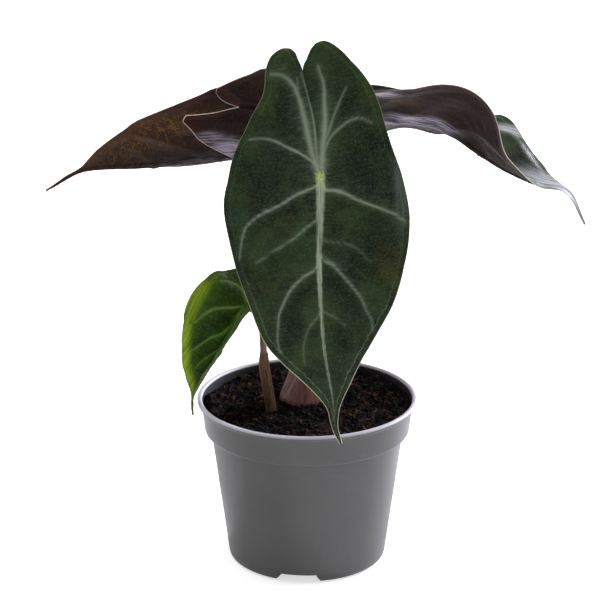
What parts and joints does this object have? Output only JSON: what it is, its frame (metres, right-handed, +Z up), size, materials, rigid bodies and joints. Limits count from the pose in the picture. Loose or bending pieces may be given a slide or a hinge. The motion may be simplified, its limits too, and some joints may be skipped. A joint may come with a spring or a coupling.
{
  "type": "potted alocasia plant",
  "caption": "Potted foliage plant: arrow-shaped leaves on fleshy stalks from a stem base in peat, in a tapered nursery pot with a collar.",
  "frame": {"origin": "centre of the pot's flat base", "axes": "+Z up; the largest leaf faces -Y, and the two side leaves reach towards -X and +X"},
  "size_m": [0.299, 0.1987, 0.2977],
  "materials": {
    "pot_plastic": "satin grey injection-moulded polypropylene",
    "peat": "moist coarse peat, matte and lumpy",
    "corm_skin": "rough brown corm skin",
    "leaf_sheath": "pink-brown fleshy sheath, satin",
    "petiole_skin": "smooth pinkish leaf stalk, satin",
    "dry_sheath": "dry brown sheath, matte and mottled",
    "dark_blade": "dark green velvety leaf with pale veins, maroon under side",
    "young_blade": "bright green young leaf, satin"
  },
  "bodies": {
    "root": {"pot": "pot_plastic", "soil": "peat", "corm": "corm_skin", "stem_base": "leaf_sheath", "petiole_front": "petiole_skin", "petiole_right": "petiole_skin", "petiole_left": "petiole_skin", "petiole_small": "petiole_skin", "sheath_small": "dry_sheath", "blade_front": "dark_blade", "blade_right": "dark_blade", "blade_left": "dark_blade", "blade_small": "young_blade"}
  },
  "joints": []
}
